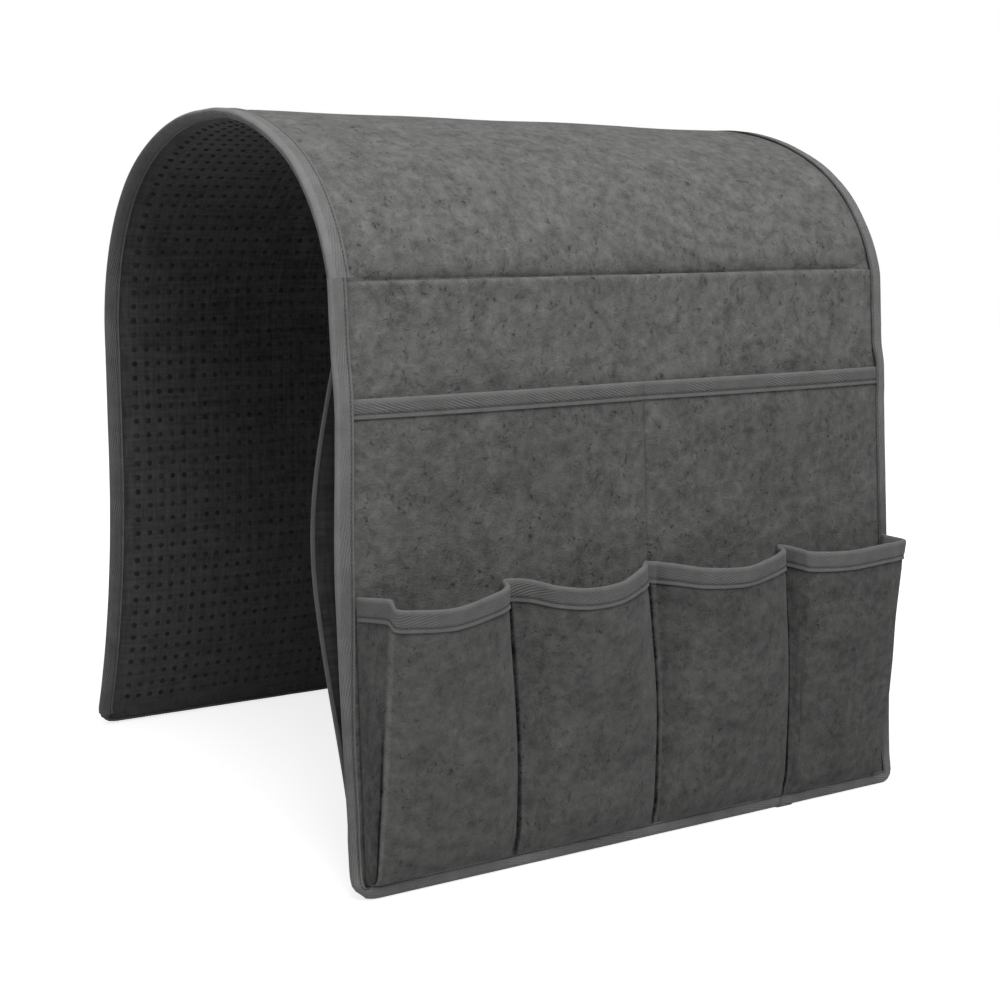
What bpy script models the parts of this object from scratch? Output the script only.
"""Felt organizer that drapes over the arm of a sofa.

A bound strip of felt and anti-slip lining lies over the arm like a saddle. Its front drop carries two wide
flat pockets with four deep pockets sewn over them, and hides a sleeve behind it that opens at the left. Its
back drop is plain and is tucked between the arm and the seat. Run with blender --background --python part.py.

X runs along the arm, -Y is the side with the pockets, +Z is up, and the origin is on the floor at the
middle of the part's box. Sizes are in metres and angles in radians.
"""

import math

import bmesh
import bpy
from mathutils import Vector

# Cloths, and the tape that is folded over their cut edges
FELT_THICKNESS = 0.0030
LINING_THICKNESS = 0.0018
POCKET_THICKNESS = 0.0022
TAPE_THICKNESS = 0.0010
SEWN_GAP = 0.0003
EDGE_PRESS = 0.0002
FOLD_REACH = 0.0030
EDGE_TAPE_FACE = 0.0080
MOUTH_TAPE_FACE = 0.0100
SLEEVE_TAPE_FACE = 0.0045

# The strip as it hangs, from the front hem over the arm to the back hem, along the middle of its plies
STRIP_WIDTH = 0.330
CORNER_RADIUS = 0.0140
FRONT_HEIGHT = 0.2770
FRONT_LEAN = math.radians(4.1)
FOLD_TURN = math.radians(12.2)
SHOULDER_RADIUS = 0.0938
SHOULDER_TURN = math.radians(45.4)
CROWN_RADIUS = 0.1770
CROWN_FLAT = 0.0120
CROWN_BACK_TURN = math.radians(26.0)
BACK_SHOULDER_RADIUS = 0.1060
BACK_RUN = 0.0700
FLARE_RADIUS = 0.4000
HINGE_GAP = 0.0005
FLOOR_CUT = 0.0005

# Two wide pockets, from one panel that is stitched down its middle
WIDE_POCKET_HEIGHT = 0.2270
WIDE_POCKET_BULGE = 0.0070
WIDE_BULGE_START = 0.1500
MOUTH_RAMP = 0.0070

# Four deep pockets: how far each stands out, where their seams are, and the outline of each mouth as shares
# of its width and of its depth
CUP_POCKET_LENGTH = 0.1310
CUP_POCKET_DEPTHS = (0.0310, 0.0295, 0.0260, 0.0215)
CUP_FOOT_DEPTH = 0.0036
CUP_FOOT_INSET = 0.0050
CUP_SEAM_SHARES = (-0.50, -0.26, 0.0, 0.27, 0.50)
CUP_MOUTH_SHARES = (
    ((0.0, 0.0), (0.0, 0.70), (0.06, 0.88), (0.42, 1.0), (0.74, 0.82), (0.90, 0.55), (1.0, 0.0)),
    ((0.0, 0.0), (0.04, 0.18), (0.16, 0.60), (0.34, 0.95), (0.56, 1.0), (0.76, 0.74), (0.94, 0.38), (1.0, 0.0)),
    ((0.0, 0.0), (0.08, 0.40), (0.23, 0.78), (0.55, 1.0), (0.74, 0.90), (0.88, 0.72), (0.98, 0.48), (1.0, 0.0)),
    ((0.0, 0.0), (0.01, 0.68), (0.10, 0.86), (0.43, 1.0), (0.86, 0.85), (1.08, 0.74), (1.08, 0.60), (1.0, 0.16),
     (1.0, 0.0)),
)

# The sleeve: the lining hangs away from the front felt, open at the left and closed at the right
SLEEVE_BULGE = 0.0260
SLEEVE_BOTTOM = 0.0240
SLEEVE_TOP = 0.2420
SLEEVE_MOUTH_BOTTOM = 0.0400
SLEEVE_MOUTH_TOP = 0.2350
SLEEVE_MOUTH_STEP = 0.0025
SLEEVE_SKEW_SHARE = 1.25
SLEEVE_CLOSING_SHARE = 2.5

# How finely the curves are drawn
FOLD_STEPS = 6
CORNER_STEPS = 5
ROUND_END_STEPS = 3
ROUND_END_TURN = math.radians(60.0)
SHOULDER_STEPS = 8
CROWN_STEPS = 5
BACK_SHOULDER_STEPS = 10
FLARE_STEPS = 8
SLEEVE_ACROSS = 10
SLEEVE_UP = 14
WIDE_ACROSS = 10
WIDE_UP = 6
CUP_ACROSS = 3
CUP_UP = 4
SMOOTH_ANGLE = math.radians(50.0)

# Colours and finishes
FELT_FINISH = ((0.125, 0.125, 0.121, 1.0), 0.95)
POCKET_FINISH = ((0.105, 0.105, 0.101, 1.0), 0.95)
TAPE_FINISH = ((0.140, 0.140, 0.137, 1.0), 0.85)
LINING_FINISH = ((0.022, 0.022, 0.023, 1.0), 0.75)

# What follows from those sizes: lifts are outward from the middle of felt and lining together
TAPE_COVER = SEWN_GAP + TAPE_THICKNESS
FELT_OUTSIDE = (FELT_THICKNESS + SEWN_GAP + LINING_THICKNESS) / 2
FELT_INSIDE = FELT_OUTSIDE - FELT_THICKNESS
LINING_OUTSIDE = FELT_INSIDE - SEWN_GAP
LINING_INSIDE = LINING_OUTSIDE - LINING_THICKNESS
WIDE_INSIDE = FELT_OUTSIDE + SEWN_GAP
WIDE_OUTSIDE = WIDE_INSIDE + POCKET_THICKNESS
CUP_BASE = WIDE_OUTSIDE + SEWN_GAP
HINGE_REACH = FELT_OUTSIDE + TAPE_COVER
CUT_HALF_WIDTH = STRIP_WIDTH / 2 - FOLD_REACH
CUT_CORNER = CORNER_RADIUS - FOLD_REACH
CLEAR_FOOT = EDGE_TAPE_FACE - FOLD_REACH + SEWN_GAP
CLEAR_HALF_WIDTH = CUT_HALF_WIDTH - CLEAR_FOOT
FRONT_RUN = FRONT_HEIGHT - FOLD_REACH
WIDE_CUT = WIDE_POCKET_HEIGHT - 2 * FOLD_REACH
WIDE_MOUTH_FOOT = WIDE_POCKET_HEIGHT - FOLD_REACH - MOUTH_TAPE_FACE
CROWN_FRONT_TURN = math.pi / 2 - FRONT_LEAN - FOLD_TURN - SHOULDER_TURN
BACK_SHOULDER_TURN = math.pi / 2 - CROWN_BACK_TURN


class DrapeLine:
    """Lines and arcs, end to end, that the strip follows, in Y and Z. Headings turn from +Y towards +Z."""

    def __init__(self, start, heading):
        self.end = Vector(start)
        self.heading = heading
        self.length = 0.0
        self.stretches = []

    def add(self, length, turn=0.0):
        """Goes on for a length, turning towards the outside of the strip by an angle on the way."""
        self.stretches.append((self.length, length, turn, self.end, self.heading))
        self.length += length
        self.end, self.heading = self.at(self.length)
        return self

    def at(self, distance):
        """Place and heading at a distance. The first and the last stretch go on past the line's ends."""
        for began, length, turn, start, heading in self.stretches:
            if distance <= began + length:
                break
        run = distance - began
        bend = turn * run / length
        chord = run * math.sin(bend / 2) / (bend / 2) if bend else run
        way = heading + bend / 2
        return start + chord * Vector((math.cos(way), math.sin(way))), heading + bend

    def place(self, x, distance, lift):
        """Point of the strip across, along and out from the line."""
        spot, heading = self.at(distance)
        return Vector((x, spot.x - math.sin(heading) * lift, spot.y + math.cos(heading) * lift))


class Drop:
    """A hanging end of the strip. Its places are across, up from its cut hem, and out."""

    def __init__(self, line, hem_first):
        self.line = line
        self.hem_first = hem_first
        self.height = line.length
        self.hinge = line.place(0.0, line.length if hem_first else 0.0, 0.0)

    def place(self, x, up, lift):
        """Point of the drop. Above the hinge it is drawn in, to stay inside a circle about the hinge."""
        over = max(up - self.height, 0.0)
        drawn_in = math.sqrt(1.0 - (over / HINGE_REACH) ** 2)
        return self.line.place(x, up if self.hem_first else self.height - up, lift * drawn_in)


def steps(start, end, count):
    """Evenly spaced values from a start to an end, with both."""
    return [start + (end - start) * k / count for k in range(count + 1)]


def ease(share):
    """Rises smoothly from nothing to one as a share does, and stays level outside."""
    share = min(max(share, 0.0), 1.0)
    return share * share * (3.0 - 2.0 * share)


def ramp(value, corners):
    """Value read off a line through corners, level before the first and after the last."""
    if value <= corners[0][0]:
        return corners[0][1]
    for (low, start), (high, end) in zip(corners, corners[1:]):
        if value <= high:
            return start + (end - start) * (value - low) / (high - low)
    return corners[-1][1]


def smooth_through(points, count):
    """Curve through every point, with a count of steps between each two."""
    padded = [points[0], *points, points[-1]]
    curve = []
    for before, start, end, after in zip(padded, padded[1:], padded[2:], padded[3:]):
        for t in steps(0.0, 1.0, count)[:-1]:
            curve.append(tuple(
                0.5 * (2 * b + (c - a) * t + (2 * a - 5 * b + 4 * c - d) * t ** 2 + (3 * b - a - 3 * c + d) * t ** 3)
                for a, b, c, d in zip(before, start, end, after)))
    return curve + [points[-1]]


def hang_the_strip():
    """The front, the saddle and the back of the strip, with both bound hems on the floor."""
    heading = math.pi / 2 - FRONT_LEAN
    hem_lift = (FELT_INSIDE + WIDE_OUTSIDE) / 2
    hem_height = FOLD_REACH * math.sin(heading) - hem_lift * math.cos(heading) - FLOOR_CUT
    front = DrapeLine((0.0, hem_height), heading).add(FRONT_RUN)
    saddle = DrapeLine(front.end, front.heading - FOLD_TURN)
    saddle.add(SHOULDER_RADIUS * SHOULDER_TURN, -SHOULDER_TURN)
    saddle.add(CROWN_RADIUS * CROWN_FRONT_TURN, -CROWN_FRONT_TURN)
    saddle.add(CROWN_FLAT)
    saddle.add(CROWN_RADIUS * CROWN_BACK_TURN, -CROWN_BACK_TURN)
    saddle.add(BACK_SHOULDER_RADIUS * BACK_SHOULDER_TURN, -BACK_SHOULDER_TURN)
    back = DrapeLine(saddle.end, saddle.heading).add(BACK_RUN)
    flare = math.asin((back.end.y - FOLD_REACH + FLOOR_CUT) / FLARE_RADIUS)
    back.add(FLARE_RADIUS * flare, flare)
    return Drop(front, hem_first=True), saddle, Drop(back, hem_first=False)


def new_carrier(name, place):
    """Empty that a body of the strip hangs on, at its hinge."""
    carrier = bpy.data.objects.new(name, None)
    carrier.location = place
    bpy.context.collection.objects.link(carrier)
    return carrier


def cloth_material(name, finish):
    """Matt cloth in a colour."""
    material = bpy.data.materials.new(name)
    material.use_nodes = True
    shader = material.node_tree.nodes["Principled BSDF"]
    colour, roughness = finish
    shader.inputs["Base Color"].default_value = colour
    shader.inputs["Roughness"].default_value = roughness
    shader.inputs["Metallic"].default_value = 0.0
    material.diffuse_color = colour
    return material


def new_piece(name, rings, finish, carrier):
    """Closed cloth body lofted through rings, each with its outer side first and its inner side back again."""
    bm = bmesh.new()
    loops = []
    for ring in rings:
        floored = [Vector((point.x, point.y, max(point.z, 0.0))) for point in ring]
        loops.append([bm.verts.new(point - carrier.location) for point in floored])
    for loop, following in zip(loops, loops[1:]):
        for k, vertex in enumerate(loop):
            bm.faces.new((loop[k - 1], vertex, following[k], following[k - 1]))
    for loop in (loops[0], loops[-1]):
        for k in range(len(loop) // 2 - 1):
            bm.faces.new((loop[k], loop[k + 1], loop[-k - 2], loop[-k - 1]))
    bmesh.ops.recalc_face_normals(bm, faces=bm.faces)
    mesh = bpy.data.meshes.new(name)
    bm.to_mesh(mesh)
    bm.free()
    mesh.shade_smooth()
    mesh.set_sharp_from_angle(angle=SMOOTH_ANGLE)
    mesh.materials.append(cloth_material(name + "_cloth", finish))
    piece = bpy.data.objects.new(name, mesh)
    piece.parent = carrier
    bpy.context.collection.objects.link(piece)
    return piece


def round_end(height):
    """Heights of the rings that round off the end of a drop around its hinge."""
    return [height + HINGE_REACH * math.sin(turn) for turn in steps(0.0, ROUND_END_TURN, ROUND_END_STEPS)]


def flare_heights(drop):
    """Heights up the back drop: close together where it flares, and none along its straight run."""
    return steps(0.0, drop.height - BACK_RUN, FLARE_STEPS)[1:]


def corner_rows(inset=0.0):
    """Heights and half widths of a cloth's rounded hem corners, where it ends inside the cut edge by an inset."""
    radius = CUT_CORNER - inset
    return [(CUT_CORNER - radius * math.cos(turn), CUT_HALF_WIDTH - CUT_CORNER + radius * math.sin(turn))
            for turn in steps(0.0, math.pi / 2, CORNER_STEPS)]


def saddle_distances():
    """Distances along the saddle, from just clear of the front hinge to just clear of the back hinge."""
    shoulder = SHOULDER_RADIUS * SHOULDER_TURN
    seat_start = shoulder + CROWN_RADIUS * CROWN_FRONT_TURN
    seat_end = seat_start + CROWN_FLAT
    crown_end = seat_end + CROWN_RADIUS * CROWN_BACK_TURN
    back = crown_end + BACK_SHOULDER_RADIUS * BACK_SHOULDER_TURN
    clear = HINGE_REACH + HINGE_GAP
    return (steps(clear, shoulder, SHOULDER_STEPS)[:-1] + steps(shoulder, seat_start, CROWN_STEPS)
            + steps(seat_end, crown_end, CROWN_STEPS)[:-1] + steps(crown_end, back - clear, BACK_SHOULDER_STEPS))


def cloth_ring(strip, along, wide, outside, inside):
    """Ring round a cloth that is cut to a half width: flat between the edge tapes, and pressed thinner in them."""
    clear = wide * CLEAR_HALF_WIDTH / CUT_HALF_WIDTH
    outer = [(-wide, outside - EDGE_PRESS), (-clear, outside), (clear, outside), (wide, outside - EDGE_PRESS)]
    inner = [(wide, inside + EDGE_PRESS), (clear, inside), (-clear, inside), (-wide, inside + EDGE_PRESS)]
    return [strip.place(x, along, lift) for x, lift in outer + inner]


def add_saddle_ply(name, saddle, outside, inside, finish, carrier):
    """One cloth of the saddle, over the arm from hinge to hinge."""
    rings = [cloth_ring(saddle, distance, CUT_HALF_WIDTH, outside, inside) for distance in saddle_distances()]
    new_piece(name, rings, finish, carrier)


def add_drop_ply(name, drop, outside, inside, heights, finish, carrier):
    """One cloth of a drop, with rounded corners at the hem and a rounded end at the hinge."""
    rows = corner_rows() + [(up, CUT_HALF_WIDTH) for up in heights + round_end(drop.height)]
    rings = [cloth_ring(drop, up, wide, outside, inside) for up, wide in rows]
    new_piece(name, rings, finish, carrier)


def folded_tape(outside, inside, face):
    """Section of a tape folded over the edge of cloth, as places beyond the edge and lifts."""
    middle = (outside + inside) / 2
    half = (outside - inside) / 2
    chains = []
    for reach, rise in ((FOLD_REACH, half + TAPE_COVER), (FOLD_REACH - TAPE_THICKNESS, half + SEWN_GAP)):
        turns = steps(math.pi / 2, -math.pi / 2, FOLD_STEPS)
        fold = [(reach * math.cos(turn), middle + rise * math.sin(turn)) for turn in turns]
        chains.append([(FOLD_REACH - face, middle + rise), *fold, (FOLD_REACH - face, middle - rise)])
    return chains[0] + chains[1][::-1]


def add_saddle_binding(name, saddle, side, carrier):
    """Tape over one long edge of the saddle."""
    section = folded_tape(FELT_OUTSIDE, LINING_INSIDE, EDGE_TAPE_FACE)
    rings = []
    for distance in saddle_distances():
        rings.append([saddle.place(side * (CUT_HALF_WIDTH + beyond), distance, lift) for beyond, lift in section])
    new_piece(name, rings, TAPE_FINISH, carrier)


def bound_edge(heights):
    """Cut edge of a drop, down its left side, round the hem and up its right side: places and ways out."""
    path = [(-CUT_HALF_WIDTH, up, -1.0, 0.0) for up in sorted(heights, reverse=True)]
    for turn in steps(0.0, math.pi / 2, CORNER_STEPS):
        out_x = -math.cos(turn)
        out_up = -math.sin(turn)
        path.append((CUT_CORNER - CUT_HALF_WIDTH + CUT_CORNER * out_x, CUT_CORNER + CUT_CORNER * out_up,
                     out_x, out_up))
    return path + [(-x, up, -out_x, out_up) for x, up, out_x, out_up in reversed(path)]


def add_drop_binding(name, drop, cover, inside, heights, carrier):
    """Tape round the sides and the hem of a drop, lying on whatever is sewn there."""
    rings = []
    for x, up, out_x, out_up in bound_edge(heights + round_end(drop.height)):
        section = folded_tape(ramp(up, cover), inside, EDGE_TAPE_FACE)
        rings.append([drop.place(x + out_x * beyond, up + out_up * beyond, lift) for beyond, lift in section])
    new_piece(name, rings, TAPE_FINISH, carrier)


def front_cover():
    """What the side tapes of the front lie on: the wide pockets, their bound mouth, and above it bare felt."""
    mouth = WIDE_OUTSIDE + 2 * TAPE_COVER
    foot = WIDE_MOUTH_FOOT - SEWN_GAP
    top = WIDE_CUT + FOLD_REACH + SEWN_GAP
    return ((foot - MOUTH_RAMP, WIDE_OUTSIDE), (foot, mouth), (top, mouth), (top + MOUTH_RAMP, FELT_OUTSIDE))


def wide_pocket_rise(x, up):
    """How far the wide pockets stand off the felt: a little for the tape at the mouth, more in the middle."""
    mouth = ease((up - WIDE_MOUTH_FOOT + SEWN_GAP + MOUTH_RAMP) / MOUTH_RAMP)
    arch = ease((up - WIDE_BULGE_START) / (WIDE_CUT - WIDE_BULGE_START))
    across = min(abs(x) / CLEAR_HALF_WIDTH, 1.0)
    return TAPE_COVER * mouth + WIDE_POCKET_BULGE * arch * math.sin(math.pi * across)


def wide_pocket_columns():
    """Places across the wide pockets: both margins, and closer ones over each pocket's bulge."""
    pocket = steps(0.0, CLEAR_HALF_WIDTH, WIDE_ACROSS)[1:]
    right = pocket + [CUT_HALF_WIDTH]
    return [-x for x in reversed(right)] + [0.0] + right


def add_wide_pockets(front, carrier):
    """The panel of the two wide pockets, and the tape along its mouth."""
    foot = WIDE_MOUTH_FOOT - SEWN_GAP - MOUTH_RAMP
    heights = steps(WIDE_BULGE_START, foot, WIDE_UP) + [foot + MOUTH_RAMP / 2, foot + MOUTH_RAMP, WIDE_CUT]
    columns = wide_pocket_columns()
    rings = []
    for up, wide in corner_rows() + [(up, CUT_HALF_WIDTH) for up in heights]:
        drawn = wide / CUT_HALF_WIDTH
        outer = [front.place(x * drawn, up, WIDE_OUTSIDE + wide_pocket_rise(x, up)) for x in columns]
        inner = [front.place(x * drawn, up, WIDE_INSIDE + wide_pocket_rise(x, up)) for x in columns]
        rings.append(outer + inner[::-1])
    new_piece("wide_pocket_panel", rings, POCKET_FINISH, carrier)

    section = folded_tape(WIDE_OUTSIDE, WIDE_INSIDE, MOUTH_TAPE_FACE)
    rings = []
    for x in columns:
        rings.append([front.place(x, WIDE_CUT + beyond, lift + wide_pocket_rise(x, WIDE_CUT + min(beyond, 0.0)))
                      for beyond, lift in section])
    new_piece("wide_pocket_binding", rings, TAPE_FINISH, carrier)


class CupPocket:
    """One deep pocket on the front, straight down its face from its mouth to its foot at the bound hem."""

    def __init__(self, front, mouth_span, foot_span, depth, mouth_shares):
        self.front = front
        self.mouth_span = mouth_span
        self.foot_span = foot_span
        self.depth = depth
        self.mouth = smooth_through(mouth_shares, CUP_ACROSS)

    def place(self, share, rise, out):
        """Point at a share of the mouth's outline, up from the foot (0) to the mouth (1), out from its face."""
        across, outward = share
        inside = min(max(across, 0.0), 1.0)
        across = inside + (across - inside) * rise ** 2
        left, right = (foot + rise * (mouth - foot) for mouth, foot in zip(self.mouth_span, self.foot_span))
        x = left - out + across * (right - left + 2 * out)
        lift = CUP_BASE + outward * (CUP_FOOT_DEPTH + rise * (self.depth - CUP_FOOT_DEPTH) + out)
        climb = math.sqrt(CUP_POCKET_LENGTH ** 2 - (outward * self.depth) ** 2)
        return self.front.place(x, CLEAR_FOOT + rise * climb, lift)

    def wall(self):
        """Rings of the pocket's cloth, from its foot to its cut mouth."""
        cut = 1.0 - FOLD_REACH / CUP_POCKET_LENGTH
        rings = []
        for rise in steps(0.0, cut, CUP_UP):
            outer = [self.place(share, rise, 0.0) for share in self.mouth]
            inner = [self.place(share, rise, -POCKET_THICKNESS) for share in self.mouth]
            rings.append(outer + inner[::-1])
        return rings

    def binding(self):
        """Rings of the tape over the pocket's mouth."""
        cut = 1.0 - FOLD_REACH / CUP_POCKET_LENGTH
        section = folded_tape(0.0, -POCKET_THICKNESS, MOUTH_TAPE_FACE)
        return [[self.place(share, cut + beyond / CUP_POCKET_LENGTH, out) for beyond, out in section]
                for share in self.mouth]


def add_cup_pockets(front, carrier):
    """The four deep pockets, each with its bound mouth."""
    clearance = TAPE_COVER + SEWN_GAP / 2
    mouths = [2 * CLEAR_HALF_WIDTH * share for share in CUP_SEAM_SHARES]
    feet = [mouths[0] + CUP_FOOT_INSET, *mouths[1:-1], mouths[-1] - CUP_FOOT_INSET]
    for k, (depth, shares) in enumerate(zip(CUP_POCKET_DEPTHS, CUP_MOUTH_SHARES)):
        number = k + 1
        spans = [(seams[k] + clearance, seams[number] - clearance) for seams in (mouths, feet)]
        pocket = CupPocket(front, *spans, depth, shares)
        new_piece(f"cup_pocket_{number}", pocket.wall(), POCKET_FINISH, carrier)
        new_piece(f"cup_pocket_binding_{number}", pocket.binding(), TAPE_FINISH, carrier)


def sleeve_bulge(across, up):
    """How far the sleeve's lining hangs away from the felt, at a share across from its mouth."""
    share = min(max((up - SLEEVE_BOTTOM) / (SLEEVE_TOP - SLEEVE_BOTTOM), 0.0), 1.0)
    return SLEEVE_BULGE * math.sin(math.pi * share ** SLEEVE_SKEW_SHARE) * (1.0 - across ** SLEEVE_CLOSING_SHARE)


def add_sleeve(front, carrier):
    """The lining behind the front felt, and the narrow tape along the sleeve's mouth."""
    mouth = steps(SLEEVE_MOUTH_BOTTOM, SLEEVE_MOUTH_TOP, SLEEVE_UP)
    below = [SLEEVE_BOTTOM, SLEEVE_MOUTH_BOTTOM - SLEEVE_MOUTH_STEP]
    above = [SLEEVE_MOUTH_TOP + SLEEVE_MOUTH_STEP, SLEEVE_TOP, *round_end(front.height)]
    rows = [(up, wide, wide) for up, wide in corner_rows(CLEAR_FOOT)]
    rows += [(up, CLEAR_HALF_WIDTH, CLEAR_HALF_WIDTH) for up in below]
    rows += [(up, CUT_HALF_WIDTH, CLEAR_HALF_WIDTH) for up in mouth]
    rows += [(up, CLEAR_HALF_WIDTH, CLEAR_HALF_WIDTH) for up in above]
    shares = steps(0.0, 1.0, SLEEVE_ACROSS)
    rings = []
    for up, left, right in rows:
        chains = []
        for lift in (LINING_OUTSIDE, LINING_INSIDE):
            chains.append([front.place(share * (left + right) - left, up, lift - sleeve_bulge(share, up))
                           for share in shares])
        rings.append(chains[0] + chains[1][::-1])
    new_piece("sleeve_lining", rings, LINING_FINISH, carrier)

    section = folded_tape(LINING_OUTSIDE, LINING_INSIDE, SLEEVE_TAPE_FACE)
    rings = []
    for up in mouth:
        rings.append([front.place(-CUT_HALF_WIDTH - beyond, up, lift - sleeve_bulge(0.0, up))
                      for beyond, lift in section])
    new_piece("sleeve_binding", rings, TAPE_FINISH, carrier)


def add_saddle(saddle, carrier):
    """What lies over the arm: felt, lining, and the tape along both long edges."""
    add_saddle_ply("felt_saddle", saddle, FELT_OUTSIDE, FELT_INSIDE, FELT_FINISH, carrier)
    add_saddle_ply("lining_saddle", saddle, LINING_OUTSIDE, LINING_INSIDE, LINING_FINISH, carrier)
    add_saddle_binding("binding_left_saddle", saddle, -1, carrier)
    add_saddle_binding("binding_right_saddle", saddle, 1, carrier)


def add_front_drop(front, carrier):
    """What hangs from the front fold: felt, sleeve, pockets, and the tape round them."""
    add_drop_ply("felt_front_drop", front, FELT_OUTSIDE, FELT_INSIDE, [], FELT_FINISH, carrier)
    cover = front_cover()
    add_drop_binding("binding_front_drop", front, cover, FELT_INSIDE, [up for up, lift in cover], carrier)
    add_sleeve(front, carrier)
    add_wide_pockets(front, carrier)
    add_cup_pockets(front, carrier)


def add_back_drop(back, carrier):
    """What hangs at the back: felt, lining, and the tape round them."""
    heights = [up for up in flare_heights(back) if up > CUT_CORNER]
    add_drop_ply("felt_back_drop", back, FELT_OUTSIDE, FELT_INSIDE, heights, FELT_FINISH, carrier)
    add_drop_ply("lining_back_drop", back, LINING_OUTSIDE, LINING_INSIDE, heights, LINING_FINISH, carrier)
    cover = ((0.0, FELT_OUTSIDE), (back.height, FELT_OUTSIDE))
    add_drop_binding("binding_back_drop", back, cover, LINING_INSIDE, heights, carrier)


def centre_on_origin(carriers):
    """Moves the bodies together so that the middle of the part's box is above the origin."""
    bpy.context.view_layer.update()
    depths = [(piece.matrix_world @ vertex.co).y
              for piece in bpy.data.objects if piece.type == "MESH" for vertex in piece.data.vertices]
    middle = (min(depths) + max(depths)) / 2
    for carrier in carriers:
        carrier.location.y -= middle


def main():
    for old in list(bpy.data.objects):
        bpy.data.objects.remove(old, do_unlink=True)
    front, saddle, back = hang_the_strip()
    saddle_carrier = new_carrier("saddle_carrier", (0.0, 0.0, 0.0))
    front_hinge = new_carrier("front_hinge", front.hinge)
    back_hinge = new_carrier("back_hinge", back.hinge)
    add_saddle(saddle, saddle_carrier)
    add_front_drop(front, front_hinge)
    add_back_drop(back, back_hinge)
    centre_on_origin((saddle_carrier, front_hinge, back_hinge))


main()
